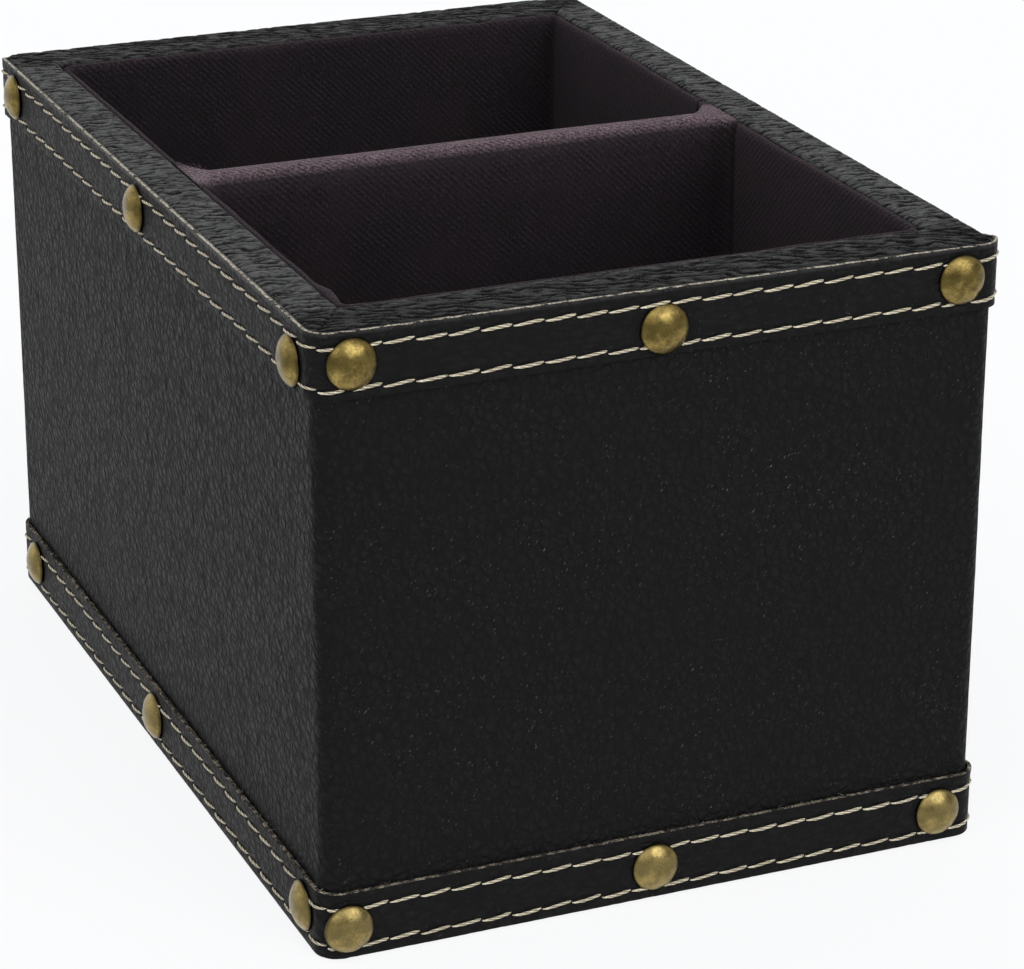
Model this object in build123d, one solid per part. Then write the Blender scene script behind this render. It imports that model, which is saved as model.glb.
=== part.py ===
from build123d import *
import math
import os

# Remote control holder: a covered board box, open at the top, with one divider and two
# trim bands. Millimetres. X runs along the narrow front, the front faces -Y, +Z is up,
# and the origin is at the middle of the footprint, on the table.

# Driving dimensions of the box, without the trim bands
body_width = 130.0
body_depth = 190.0
body_height = 118.0
corner_radius = 3.6          # outside of the cover, at the upright corners

# Sheet and board stock
cover_thickness = 1.3        # faux leather
end_board_thickness = 9.5    # front and back walls
side_board_thickness = 6.4   # left and right walls
base_board_thickness = 6.0
divider_board_thickness = 6.0
floor_card_thickness = 1.3
lining_thickness = 1.2       # brushed cloth on the walls and floors
sleeve_thickness = 1.6       # the same cloth over thin wadding, round the divider
base_sheet_thickness = 1.0

# How far the cover is turned over the rim and under the base
turn_in_depth = 15.0
turn_under_width = 12.0
rim_outer_round = 0.9
rim_inner_round = 1.1
bottom_round = 0.8
base_sheet_margin = 3.0      # from the cover's outside to the sheet's edge
cover_joint_gap = 0.3
cover_joint_offset = 38.0    # the cover's two ends meet here, on the back

# Divider and lining
divider_drop = 0.3           # top of the divider below the rim
lining_drop = 0.5            # top of the wall lining below the rim
lining_corner_radius = 4.0   # inside of the cloth at the upright corners
lining_joint_gap = 0.2       # between the wall lining and the divider's cloth

# Trim bands
band_thickness = 0.9
top_band_height = 12.4
bottom_band_height = 13.0
band_floor_clearance = 0.3
band_joint_gap = 0.4
band_joint_offset = -30.0    # the band's two ends meet here, on the back

# Saddle stitching: rows run along both edges of each band
thread_radius = 0.4
stitch_gap = 0.5
stitches_per_end = 22
stitches_per_side = 29
top_band_row_drops = (2.9, 10.4)      # below the band's upper edge
bottom_band_row_drops = (3.2, 10.7)
shortest_stitch_end = 0.8             # a shorter rest beside a nail head is left out

# Dome-headed nails: one near each end and one in the middle of every face
nail_head_radius = 4.65
nail_head_height = 2.3
nail_rim_height = 0.35
nail_shell_thickness = 0.6
nail_shank_radius = 0.8
nail_shank_length = 7.5
nail_point_length = 2.0
nail_hole_clearance = 0.05
nail_thread_clearance = 0.15

# Where each nail was set by hand: distance along its face, to the right as seen from
# outside, and height; the front and left ones as photographed, the others much like them
nail_places = {
    ("front", "top"): ((-58.7, 112.1), (-1.2, 110.6), (57.0, 111.9)),
    ("front", "bottom"): ((-60.8, 6.3), (-1.2, 6.6), (57.2, 6.5)),
    ("left", "top"): ((-83.2, 111.8), (-0.6, 111.9), (85.6, 110.4)),
    ("left", "bottom"): ((-83.7, 7.0), (-0.5, 6.7), (85.9, 7.1)),
    ("right", "top"): ((-85.6, 111.6), (0.8, 111.2), (84.6, 111.9)),
    ("right", "bottom"): ((-85.2, 6.6), (-0.7, 6.9), (84.9, 6.4)),
    ("back", "top"): ((-57.6, 111.7), (0.9, 111.3), (58.2, 111.5)),
    ("back", "bottom"): ((-58.0, 6.8), (-0.6, 6.5), (57.5, 6.7)),
}

# Places that follow from the sizes above
half_width = body_width / 2
half_depth = body_depth / 2
cover_bottom = base_sheet_thickness
board_bottom = cover_bottom + cover_thickness
board_top = body_height - cover_thickness
board_half_width = half_width - cover_thickness
board_half_depth = half_depth - cover_thickness
inner_board_x = board_half_width - side_board_thickness
inner_board_y = board_half_depth - end_board_thickness
liner_card_thickness = cover_thickness    # packs the wall out flush with the turned-in cover
opening_x = inner_board_x - liner_card_thickness
opening_y = inner_board_y - liner_card_thickness
base_top = board_bottom + base_board_thickness
floor_card_top = base_top + floor_card_thickness
floor_top = floor_card_top + lining_thickness
turn_in_bottom = board_top - turn_in_depth
divider_top = body_height - divider_drop
divider_half = divider_board_thickness / 2 + sleeve_thickness
lining_top = body_height - lining_drop
lining_face_x = opening_x - lining_thickness
band_corner_radius = corner_radius + band_thickness
top_band_bottom = body_height - top_band_height
bottom_band_bottom = band_floor_clearance
bottom_band_top = bottom_band_bottom + bottom_band_height

# The four faces, turned about Z from the front: name, angle, half length, half distance
faces = (
    ("front", 0, half_width, half_depth),
    ("right", 90, half_depth, half_width),
    ("back", 180, half_width, half_depth),
    ("left", 270, half_depth, half_width),
)


def prism(x_min, x_max, y_min, y_max, z_min, z_max):
    block = Box(x_max - x_min, y_max - y_min, z_max - z_min, align=(Align.MIN, Align.MIN, Align.MIN))
    return Pos(x_min, y_min, z_min) * block


def rounded_prism(half_x, half_y, radius, z_min, z_max):
    outline = RectangleRounded(2 * half_x, 2 * half_y, radius)
    return Pos(0, 0, z_min) * extrude(outline, amount=z_max - z_min)


def nails_on(face, band):
    """Places of the three nail heads on one face: distance along the face, and height."""
    return nail_places[face[0], band]


def nail_holes():
    """Round cutters for every shank, through the bands and the cover into the boards."""
    cutters = []
    radius = nail_shank_radius + nail_hole_clearance
    depth = band_thickness + nail_shank_length
    for face in faces:
        name, angle, half_length, half_distance = face
        for band in ("top", "bottom"):
            for x, z in nails_on(face, band):
                hole = Rot(-90, 0, 0) * Cylinder(radius, depth + nail_hole_clearance,
                                                 align=(Align.CENTER, Align.CENTER, Align.MIN))
                place = Pos(x, -half_distance - band_thickness, z)
                cutters.append(Rot(0, 0, angle) * place * hole)
    return cutters


def end_board(side):
    """Front (side -1) or back (side 1) wall, the full width, with eased upright edges."""
    near = side * inner_board_y
    far = side * board_half_depth
    board = prism(-board_half_width, board_half_width, min(near, far), max(near, far),
                  board_bottom, board_top)
    corners = board.edges().filter_by(Axis.Z).group_by(Axis.Y)[0 if side < 0 else -1]
    return fillet(corners, corner_radius - cover_thickness)


def side_board(side):
    """Left (side -1) or right (side 1) wall, between the end boards."""
    near = side * inner_board_x
    far = side * board_half_width
    return prism(min(near, far), max(near, far), -inner_board_y, inner_board_y,
                 board_bottom, board_top)


def divider_panel():
    """The divider's board, standing on the base board, with a rounded top."""
    half = divider_board_thickness / 2
    top = divider_top - sleeve_thickness
    board = prism(-opening_x, opening_x, -half, half, base_top, top - half)
    rounding = Pos(0, 0, top - half) * Rot(0, 90, 0) * Cylinder(half, 2 * opening_x)
    return board + rounding


def end_liner_card(side):
    near = side * opening_y
    far = side * inner_board_y
    return prism(-inner_board_x, inner_board_x, min(near, far), max(near, far),
                 base_top, turn_in_bottom)


def side_liner_card(side):
    near = side * opening_x
    far = side * inner_board_x
    return prism(min(near, far), max(near, far), -opening_y, opening_y, base_top, turn_in_bottom)


def floor_layer(side, z_min, z_max):
    """A card or a cloth on the floor of one compartment, up to the divider's board."""
    near = side * divider_board_thickness / 2
    far = side * opening_y
    return prism(-opening_x, opening_x, min(near, far), max(near, far), z_min, z_max)


def outer_cover():
    """One sheet round the walls, turned over the rim and under the base."""
    sheet = rounded_prism(half_width, half_depth, corner_radius, cover_bottom, body_height)
    sheet -= rounded_prism(board_half_width, board_half_depth, corner_radius - cover_thickness,
                           board_bottom, board_top)
    sheet -= prism(-opening_x, opening_x, -opening_y, opening_y, board_top, body_height)
    under_x = half_width - turn_under_width
    under_y = half_depth - turn_under_width
    sheet -= prism(-under_x, under_x, -under_y, under_y, cover_bottom, board_bottom)
    turned_in = prism(-inner_board_x, inner_board_x, -inner_board_y, inner_board_y,
                      turn_in_bottom, board_top)
    turned_in -= prism(-opening_x, opening_x, -opening_y, opening_y, turn_in_bottom, board_top)
    sheet += turned_in
    top_edges = sheet.edges().group_by(Axis.Z)[-1]
    inside = [e for e in top_edges if abs(e.center().X) < opening_x + 0.1
              and abs(e.center().Y) < opening_y + 0.1]
    outside = [e for e in top_edges if e not in inside]
    sheet = fillet(outside, rim_outer_round)
    top_edges = sheet.edges().group_by(Axis.Z)[-1]
    inside = [e for e in top_edges if abs(e.center().X) < opening_x + 0.1
              and abs(e.center().Y) < opening_y + 0.1]
    sheet = fillet(inside, rim_inner_round)
    low_edges = sheet.edges().group_by(Axis.Z)[0]
    low_outside = [e for e in low_edges if abs(e.center().X) > under_x + 0.1
                   or abs(e.center().Y) > under_y + 0.1]
    sheet = fillet(low_outside, bottom_round)
    joint = prism(cover_joint_offset - cover_joint_gap / 2, cover_joint_offset + cover_joint_gap / 2,
                  0, half_depth + 1, cover_bottom - 1, body_height + 1)
    return sheet - joint


def base_sheet():
    half_x = half_width - base_sheet_margin
    half_y = half_depth - base_sheet_margin
    return rounded_prism(half_x, half_y, corner_radius, 0, base_sheet_thickness)


def wall_lining(side):
    """One cloth round three walls of a compartment, with soft upright corners."""
    start = side * (divider_half + lining_corner_radius + lining_joint_gap)
    face_y = side * (opening_y - lining_thickness)
    back_y = side * opening_y
    bend = lining_corner_radius
    outer_bend = lining_corner_radius + lining_thickness
    inner_line = [(-lining_face_x, start), (-lining_face_x, face_y - side * bend),
                  (-lining_face_x + bend, face_y), (lining_face_x - bend, face_y),
                  (lining_face_x, face_y - side * bend), (lining_face_x, start)]
    outer_line = [(opening_x, start), (opening_x, back_y - side * outer_bend),
                  (opening_x - outer_bend, back_y), (-opening_x + outer_bend, back_y),
                  (-opening_x, back_y - side * outer_bend), (-opening_x, start)]
    outline = []
    for line, radius in ((inner_line, bend), (outer_line, outer_bend)):
        outline.append(Line(line[0], line[1]))
        outline.append(corner_arc(line[1], line[2], side, radius))
        outline.append(Line(line[2], line[3]))
        outline.append(corner_arc(line[3], line[4], side, radius))
        outline.append(Line(line[4], line[5]))
    outline.append(Line(inner_line[-1], outer_line[0]))
    outline.append(Line(outer_line[-1], inner_line[0]))
    cloth = extrude(make_face(outline), amount=lining_top - floor_top)
    return Pos(0, 0, floor_top) * cloth


def corner_arc(first, second, side, radius):
    """A quarter turn between two points of the lining's outline, bulging to the corner."""
    corner = (max(first[0], second[0], key=abs), side * max(abs(first[1]), abs(second[1])))
    centre = (first[0] + second[0] - corner[0], first[1] + second[1] - corner[1])
    reach = radius / math.sqrt(2)
    middle = (centre[0] + math.copysign(reach, corner[0]), centre[1] + side * reach)
    return ThreePointArc(first, middle, second)


def divider_sleeve():
    """Cloth over the divider's board, with soft flares where it meets the side walls."""
    reach = divider_half + lining_corner_radius
    flare_x = lining_face_x - lining_corner_radius
    body = prism(-opening_x, opening_x, -divider_half, divider_half,
                 floor_top, divider_top - divider_half)
    body += Pos(0, 0, divider_top - divider_half) * Rot(0, 90, 0) * Cylinder(divider_half, 2 * opening_x)
    for side in (-1, 1):
        end = prism(min(side * flare_x, side * opening_x), max(side * flare_x, side * opening_x),
                    -reach, reach, floor_top, lining_top)
        for along in (-1, 1):
            scoop = Pos(side * flare_x, along * reach, floor_top)
            end -= scoop * Cylinder(lining_corner_radius, lining_top - floor_top,
                                    align=(Align.CENTER, Align.CENTER, Align.MIN))
        body += end
    return body - divider_panel()


def trim_band(z_min, z_max, cutters):
    band = rounded_prism(half_width + band_thickness, half_depth + band_thickness,
                         band_corner_radius, z_min, z_max)
    band -= rounded_prism(half_width, half_depth, corner_radius, z_min, z_max)
    joint = prism(band_joint_offset - band_joint_gap / 2, band_joint_offset + band_joint_gap / 2,
                  0, half_depth + band_thickness + 1, z_min - 1, z_max + 1)
    return band - joint - cutters


def nail():
    """One nail, its head's rim on the plane y = 0, pointing along +Y."""
    radius = nail_head_radius
    inside = radius - nail_shell_thickness
    crown = nail_head_height - nail_rim_height
    inner_crown = crown - nail_shell_thickness + nail_rim_height
    tip = nail_shank_length + band_thickness
    profile = [
        Line((radius, 0), (radius, nail_rim_height)),
        spherical_arc((radius, nail_rim_height), crown),
        Line((0, nail_head_height), (0, -tip)),
        Line((0, -tip), (nail_shank_radius, nail_point_length - tip)),
        Line((nail_shank_radius, nail_point_length - tip), (nail_shank_radius, inner_height(inner_crown, inside))),
        inner_arc(inner_crown, inside),
        Line((inside, 0), (radius, 0)),
    ]
    head = make_face([Plane.XZ * edge for edge in profile])
    return Rot(90, 0, 0) * revolve(head, axis=Axis.Z)


def spherical_arc(start, rise):
    """Arc from the rim to the top of the dome."""
    sphere = (start[0] ** 2 + rise ** 2) / (2 * rise)
    centre = start[1] + rise - sphere
    turn = math.asin(start[0] / sphere) / 2
    middle = (sphere * math.sin(turn), centre + sphere * math.cos(turn))
    return ThreePointArc(start, middle, (0, start[1] + rise))


def inner_height(rise, reach):
    """Height of the dome's inside where the shank starts."""
    sphere = (reach ** 2 + rise ** 2) / (2 * rise)
    return rise - sphere + math.sqrt(sphere ** 2 - nail_shank_radius ** 2)


def inner_arc(rise, reach):
    """Inside of the hollow head, from the shank out to the rim."""
    sphere = (reach ** 2 + rise ** 2) / (2 * rise)
    start_turn = math.asin(nail_shank_radius / sphere)
    end_turn = math.asin(reach / sphere)
    turn = (start_turn + end_turn) / 2
    middle = (sphere * math.sin(turn), rise - sphere + sphere * math.cos(turn))
    return ThreePointArc((nail_shank_radius, inner_height(rise, reach)), middle, (reach, 0))


def nails(face, band):
    name, angle, half_length, half_distance = face
    pieces = []
    for x, z in nails_on(face, band):
        place = Rot(0, 0, angle) * Pos(x, -half_distance - band_thickness, z)
        pieces.append(place * nail())
    return pieces


def open_runs(start, end, row_z, face, band):
    """The parts of one stitch that show beside the nail heads."""
    runs = [(start, end)]
    for nail_x, nail_z in nails_on(face, band):
        drop = max(abs(row_z - nail_z) - thread_radius, 0)
        reach = nail_head_radius + nail_thread_clearance
        if drop >= reach:
            continue
        half_chord = math.sqrt(reach ** 2 - drop ** 2)
        cut = []
        for first, last in runs:
            cut.append((first, min(last, nail_x - half_chord)))
            cut.append((max(first, nail_x + half_chord), last))
        runs = [run for run in cut if run[1] - run[0] > shortest_stitch_end]
    return runs


def stitch(first, last, row_z, flat_half):
    """A half-round thread from first to last along a face, round the corner where it must."""
    profile = Circle(thread_radius) & Rectangle(2 * thread_radius, thread_radius,
                                                align=(Align.CENTER, Align.MIN))
    pieces = []
    low = max(first, -flat_half)
    high = min(last, flat_half)
    if high > low:
        plane = Plane(origin=(low, 0, row_z), x_dir=(0, 0, 1), z_dir=(1, 0, 0))
        pieces.append(extrude(plane * profile, amount=high - low))
    for side, near, far in ((-1, -flat_half - last, -flat_half - first),
                            (1, first - flat_half, last - flat_half)):
        if far > 0:
            plane = Plane(origin=(side * flat_half, 0, row_z), x_dir=(0, 0, 1), z_dir=(1, 0, 0))
            axis = Axis((side * flat_half, band_corner_radius, row_z), (0, 0, side))
            start_turn = math.degrees(max(near, 0) / band_corner_radius)
            end_turn = math.degrees(far / band_corner_radius)
            bend = revolve(plane * profile, axis=axis, revolution_arc=end_turn - start_turn)
            pieces.append(bend.rotate(axis, start_turn))
    whole = pieces[0]
    for piece in pieces[1:]:
        whole += piece
    return whole


def stitch_row(row_z, band):
    """All stitches of one row, each a separate solid."""
    row = []
    for face in faces:
        name, angle, half_length, half_distance = face
        flat_half = half_length - corner_radius
        run_half = flat_half + band_corner_radius * math.pi / 4
        count = stitches_per_end if name in ("front", "back") else stitches_per_side
        pitch = 2 * run_half / count
        for index in range(count):
            start = -run_half + index * pitch + stitch_gap / 2
            end = start + pitch - stitch_gap
            for first, last in open_runs(start, end, row_z, face, band):
                thread = stitch(first, last, row_z, flat_half)
                place = Rot(0, 0, angle) * Pos(0, -half_distance - band_thickness, 0)
                row.append(place * thread)
    return row


def save(node, shape):
    if isinstance(shape, list):
        shape = Compound(children=shape)
    export_step(shape, "parts/" + node + ".step")


os.makedirs("parts", exist_ok=True)
holes = nail_holes()

save("front_board", end_board(-1) - holes)
save("back_board", end_board(1) - holes)
save("left_board", side_board(-1) - holes)
save("right_board", side_board(1) - holes)
save("base_board", prism(-inner_board_x, inner_board_x, -inner_board_y, inner_board_y,
                         board_bottom, base_top))
save("divider_board", divider_panel())

save("front_liner_card", end_liner_card(-1))
save("back_liner_card", end_liner_card(1))
save("left_liner_card", side_liner_card(-1))
save("right_liner_card", side_liner_card(1))
save("front_floor_card", floor_layer(-1, base_top, floor_card_top))
save("back_floor_card", floor_layer(1, base_top, floor_card_top))

save("outer_cover", outer_cover() - holes)
save("base_sheet", base_sheet())

save("front_floor_lining", floor_layer(-1, floor_card_top, floor_top))
save("back_floor_lining", floor_layer(1, floor_card_top, floor_top))
save("front_compartment_lining", wall_lining(-1))
save("back_compartment_lining", wall_lining(1))
save("divider_sleeve", divider_sleeve())

save("top_trim_band", trim_band(top_band_bottom, body_height, holes))
save("bottom_trim_band", trim_band(bottom_band_bottom, bottom_band_top, holes))

for row_name, drop in zip(("upper", "lower"), top_band_row_drops):
    save("top_band_" + row_name + "_stitching", stitch_row(body_height - drop, "top"))
for row_name, drop in zip(("upper", "lower"), bottom_band_row_drops):
    save("bottom_band_" + row_name + "_stitching", stitch_row(bottom_band_top - drop, "bottom"))

for band in ("top", "bottom"):
    for face in faces:
        save(band + "_" + face[0] + "_nails", nails(face, band))
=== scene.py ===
import math
import random

import bpy
import numpy as np
from mathutils import Matrix, Vector, noise


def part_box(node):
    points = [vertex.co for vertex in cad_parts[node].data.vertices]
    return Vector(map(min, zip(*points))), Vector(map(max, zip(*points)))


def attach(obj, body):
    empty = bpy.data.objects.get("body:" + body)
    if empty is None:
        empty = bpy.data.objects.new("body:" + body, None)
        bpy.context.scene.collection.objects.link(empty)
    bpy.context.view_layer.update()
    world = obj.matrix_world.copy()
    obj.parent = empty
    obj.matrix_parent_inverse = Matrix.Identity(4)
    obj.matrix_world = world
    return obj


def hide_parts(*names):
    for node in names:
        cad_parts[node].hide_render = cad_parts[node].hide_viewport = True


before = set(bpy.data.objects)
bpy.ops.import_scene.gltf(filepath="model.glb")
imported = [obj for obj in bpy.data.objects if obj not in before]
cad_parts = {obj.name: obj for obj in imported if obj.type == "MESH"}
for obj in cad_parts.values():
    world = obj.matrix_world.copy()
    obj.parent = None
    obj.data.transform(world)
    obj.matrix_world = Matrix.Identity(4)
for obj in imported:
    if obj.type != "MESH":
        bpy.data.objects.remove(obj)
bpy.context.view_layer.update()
mm = 0.001

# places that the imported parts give
coverLow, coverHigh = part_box("outer_cover")
topBandLow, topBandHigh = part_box("top_trim_band")
bottomBandLow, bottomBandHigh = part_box("bottom_trim_band")
liningLow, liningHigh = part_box("front_compartment_lining")
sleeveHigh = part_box("divider_sleeve")[1]
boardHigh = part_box("divider_board")[1]
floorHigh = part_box("front_floor_lining")[1]
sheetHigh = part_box("base_sheet")[1]
bandThick = topBandHigh.x - coverHigh.x

body = {
    "halfX": coverHigh.x,
    "halfY": coverHigh.y,
    "corner": 3.6 * mm,
    "bottom": coverLow.z,
    "top": coverHigh.z,
    "leather": 1.3 * mm,
}
faceTurns = {"front": 0, "right": 90, "back": 180, "left": 270}


def halfLength(face):
    return body["halfX"] if face in ("front", "back") else body["halfY"]


def halfDistance(face):
    return body["halfY"] if face in ("front", "back") else body["halfX"]


def flatHalf(face):
    return halfLength(face) - body["corner"]


def stacked(*parts):
    return np.stack(np.broadcast_arrays(*parts), axis=-1)


def unit(vectors):
    return vectors / np.linalg.norm(vectors, axis=-1, keepdims=True)


# 1 at a place, falling away on both sides of it
def bell(away, width):
    return np.exp(-(away / width) ** 2)


# from 0 at one value to 1 at the other
def ramp(value, low, high):
    return np.clip((value - low) / (high - low), 0, 1)


def gridFaces(rows, columns, start=0, wrapRows=False, wrapColumns=False, flip=False):
    low = np.arange(rows if wrapRows else rows - 1)[:, None]
    left = np.arange(columns if wrapColumns else columns - 1)
    up = (low + 1) % rows
    right = (left + 1) % columns
    quads = stacked(low * columns + left, low * columns + right, up * columns + right, up * columns + left)
    quads = quads.reshape(-1, 4) + start
    return (quads[:, ::-1] if flip else quads).tolist()


# a strip that is closed round its profile, with its two ends
def stripFaces(rows, columns):
    first = np.arange(rows) * columns
    ends = [first[::-1].tolist(), (first + columns - 1).tolist()]
    return gridFaces(rows, columns, wrapRows=True) + ends


# how far each point of a line, or of many lines side by side, is from its start
def runLengths(points):
    steps = np.linalg.norm(np.diff(points, axis=0), axis=-1)
    return np.concatenate((np.zeros_like(steps[:1]), np.cumsum(steps, axis=0)))


def newObject(name, data):
    item = bpy.data.objects.new(name, data)
    bpy.context.scene.collection.objects.link(item)
    return item


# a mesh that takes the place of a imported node
def meshPiece(name, points, faces, finishes, picks, node, layout=None, pressed=None):
    mesh = bpy.data.meshes.new(name)
    mesh.from_pydata(np.asarray(points).reshape(-1, 3).tolist(), [], faces)
    for finish in finishes:
        mesh.materials.append(finish.data)
    mesh.polygons.foreach_set("use_smooth", [True] * len(mesh.polygons))
    if picks is not None:
        mesh.polygons.foreach_set("material_index", picks)
    if layout is not None:
        # flat places in millimetres, so that a weave or a mark follows the surface
        corners = np.zeros(len(mesh.loops), dtype=np.int32)
        mesh.loops.foreach_get("vertex_index", corners)
        flat = mesh.uv_layers.new(name="flatPlace")
        flat.uv.foreach_set("vector", np.asarray(layout, dtype=np.float32)[corners].ravel())
    if pressed is not None:
        # how deep each place lies in a crease, from 0 to 1
        depth = mesh.attributes.new("pressed", "FLOAT", "POINT")
        depth.data.foreach_set("value", np.asarray(pressed, dtype=np.float32).ravel())
    mesh.update()
    piece = newObject(name, mesh)
    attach(piece, "root")
    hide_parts(node)
    return piece


# smooth noise from -1 to 1 at every point; its size is in mm, for each axis or for all
def ripple(points, size, seed):
    flat = points.reshape(-1, 3) / (np.array(size) * mm) + seed * 7.31
    values = [noise.noise(Vector(p)) for p in flat.tolist()]
    return np.array(values).reshape(points.shape[:-1])


# a wide and a narrow noise in one, each with its size and height
def ripples(points, seed, wide, wideHeight, narrow, narrowHeight, step=1):
    return ripple(points, wide, seed) * wideHeight + ripple(points, narrow, seed + step) * narrowHeight


# 1 in the valleys of small folds that follow each other along a run, bent and broken here and there
def foldWaves(points, run, pitch, seed):
    bend = ripples(points, seed, (6, 5.5, 10), 0.9, (2.4, 2.6, 10), 0.55)
    wave = 0.5 + 0.5 * np.cos(2 * math.pi * (run / pitch + bend))
    broken = np.clip(0.72 + ripple(points, (3.4, 2.6, 10), seed + 2) * 1.5, 0.10, 1.15)
    return wave ** 2.6 * broken


# a ring of columns round the body, from one side of a joint on the back to the other
def ringColumns(jointAt, gap, step, cornerSteps):
    columns = []
    order = ("back", "left", "front", "right", "back")
    for count, face in enumerate(order):
        flat = flatHalf(face)
        low = jointAt + gap / 2 if count == 0 else -flat
        high = jointAt - gap / 2 if count == 4 else flat
        pieces = max(2, round((high - low) / step))
        for along in np.linspace(low, high, pieces + 1):
            columns.append((faceTurns[face], along, 0.0))
        if count < 4:
            for turn in np.linspace(0, math.pi / 2, cornerSteps + 1)[1:-1]:
                columns.append((faceTurns[face], flat, turn))
    return np.array(columns)


def turned(x, y, degrees):
    angle = np.radians(degrees)
    return x * np.cos(angle) - y * np.sin(angle), x * np.sin(angle) + y * np.cos(angle)


# where the columns stand on a rounded rectangle; the straight runs keep their places,
# and only the last 12 mm before a corner close up on a smaller one
def ringPlaces(columns, halfX, halfY, radius):
    onEnds = (columns[:, 0] % 180) == 0
    reference = np.where(onEnds, body["halfX"], body["halfY"]) - body["corner"]
    flat = np.where(onEnds, halfX, halfY) - radius
    distance = np.where(onEnds, halfY, halfX)
    kept = reference - 12 * mm
    along = columns[:, 1]
    beyond = np.abs(along) - kept
    squeezed = np.sign(along) * (kept + beyond * (flat - kept) / (reference - kept))
    x = np.where(beyond > 0, squeezed, along) + radius * np.sin(columns[:, 2])
    y = -distance + radius * (1 - np.cos(columns[:, 2]))
    return turned(x, y, columns[:, 0])


def ringNormals(columns):
    return turned(np.sin(columns[:, 2]), -np.cos(columns[:, 2]), columns[:, 0])


# each column's face, and its distance from the face's middle along a band's outside
def ringRuns(columns, radius):
    names = list(faceTurns)
    runs = []
    for degrees, along, turn in columns:
        face = names[int(degrees) // 90 % 4]
        if turn <= math.pi / 4:
            runs.append((faceTurns[face], along + radius * turn))
        else:
            following = names[(names.index(face) + 1) % 4]
            flat = flatHalf(following)
            runs.append((faceTurns[following], -flat - radius * (math.pi / 2 - turn)))
    return np.array(runs)


# a place on a band's outside, s along the face from its middle, lift outwards from it
def bandPlace(face, s, lift, z):
    s = np.asarray(s, float)
    flat = flatHalf(face)
    radius = body["corner"] + bandThick
    over = np.clip(np.abs(s) - flat, 0, None) / radius
    reach = radius + lift
    x = np.sign(s) * (np.minimum(np.abs(s), flat) + reach * np.sin(over))
    y = -(halfDistance(face) - body["corner"]) - reach * np.cos(over)
    x, y = turned(x, y, faceTurns[face])
    return stacked(x, y, z)


# a material or a world with short ways to add and join its nodes
class Recipe:
    def __init__(self, data, **values):
        data.use_nodes = True
        self.data = data
        self.nodes = data.node_tree.nodes
        self.link = data.node_tree.links.new
        for socket, value in values.items():
            self.shader().inputs[socket.replace("_", " ")].default_value = value

    def shader(self):
        return self.nodes["Principled BSDF"]

    def toShader(self, socket, output):
        self.link(output, self.shader().inputs[socket])

    def add(self, kind, inputs=None, **settings):
        node = self.nodes.new("ShaderNode" + kind)
        for key, value in settings.items():
            setattr(node, key, value)
        for socket, value in (inputs or {}).items():
            if isinstance(value, bpy.types.NodeSocket):
                self.link(value, node.inputs[socket])
            else:
                node.inputs[socket].default_value = value
        return node

    def math(self, operation, *values):
        return self.add("Math", dict(enumerate(values)), operation=operation).outputs[0]

    def plus(self, first, second):
        return self.math("ADD", first, second)

    def less(self, first, second):
        return self.math("SUBTRACT", first, second)

    def times(self, first, second):
        return self.math("MULTIPLY", first, second)

    def timesPlus(self, first, second, third):
        return self.math("MULTIPLY_ADD", first, second, third)

    def larger(self, first, second):
        return self.math("MAXIMUM", first, second)

    def positive(self, value):
        return self.math("ABSOLUTE", value)

    def sine(self, value):
        return self.math("SINE", value)

    def remap(self, value, low, high, toLow=0.0, toHigh=1.0):
        limits = {"Value": value, "From Min": low, "From Max": high, "To Min": toLow, "To Max": toHigh}
        return self.add("MapRange", limits).outputs["Result"]

    def blend(self, factor, first, second):
        colours = [c if isinstance(c, bpy.types.NodeSocket) else (*c, 1) for c in (first, second)]
        inputs = {0: factor, 6: colours[0], 7: colours[1]}
        return self.add("Mix", inputs, data_type="RGBA").outputs[2]

    # a value with shares of others added, one after the other
    def layered(self, base, *layers):
        for value, share in layers:
            base = self.timesPlus(value, share, base)
        return base

    # a colour that others are laid over, one after the other
    def tinted(self, colour, *layers):
        for factor, over in layers:
            colour = self.blend(factor, colour, over)
        return colour

    # a vector a * b + c
    def moved(self, vector, factor, shift):
        node = self.add("VectorMath", {0: vector, 1: factor, 2: shift}, operation="MULTIPLY_ADD")
        return node.outputs[0]

    def split(self, vector):
        return self.add("SeparateXYZ", {"Vector": vector}).outputs

    def place(self):
        return self.add("TexCoord").outputs["Object"]

    # object coordinates divided by a grain size in mm along each axis, the axes turned first
    def space(self, size, turn=(0, 0, 0)):
        mapping = self.add("Mapping", {"Vector": self.place()}, vector_type="TEXTURE")
        mapping.inputs["Scale"].default_value = [s * mm for s in size]
        mapping.inputs["Rotation"].default_value = [math.radians(t) for t in turn]
        return mapping.outputs["Vector"]

    # the flat places of a cloth or a nail head, in mm
    def flatPlace(self):
        return self.add("UVMap", uv_map="flatPlace").outputs["UV"]

    # how deep a place lies in a crease
    def pressed(self):
        return self.add("Attribute", attribute_name="pressed").outputs["Fac"]

    # 0 below one height and 1 above the other, in mm
    def aboveHeight(self, low, high):
        return self.remap(self.split(self.place())["Z"], low * mm, high * mm)

    def noise(self, size, detail, roughness=0.5, distortion=0.0, turn=(0, 0, 0)):
        inputs = {"Vector": self.space(size, turn), "Scale": 1.0, "Detail": detail, "Roughness": roughness,
                  "Distortion": distortion}
        return self.add("TexNoise", inputs).outputs["Fac"]

    # 0 on winding lines through a noise, rising to 1 away from them
    def offLines(self, value, width):
        return self.remap(self.positive(self.less(value, 0.5)), 0.0, width)

    def bump(self, height, strength, distance):
        inputs = {"Height": height, "Strength": strength, "Distance": distance * mm}
        self.toShader("Normal", self.add("Bump", inputs).outputs["Normal"])


def newFinish(name, colour, roughness, **values):
    return Recipe(bpy.data.materials.new(name), Base_Color=(*colour, 1), Roughness=roughness, **values)


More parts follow.
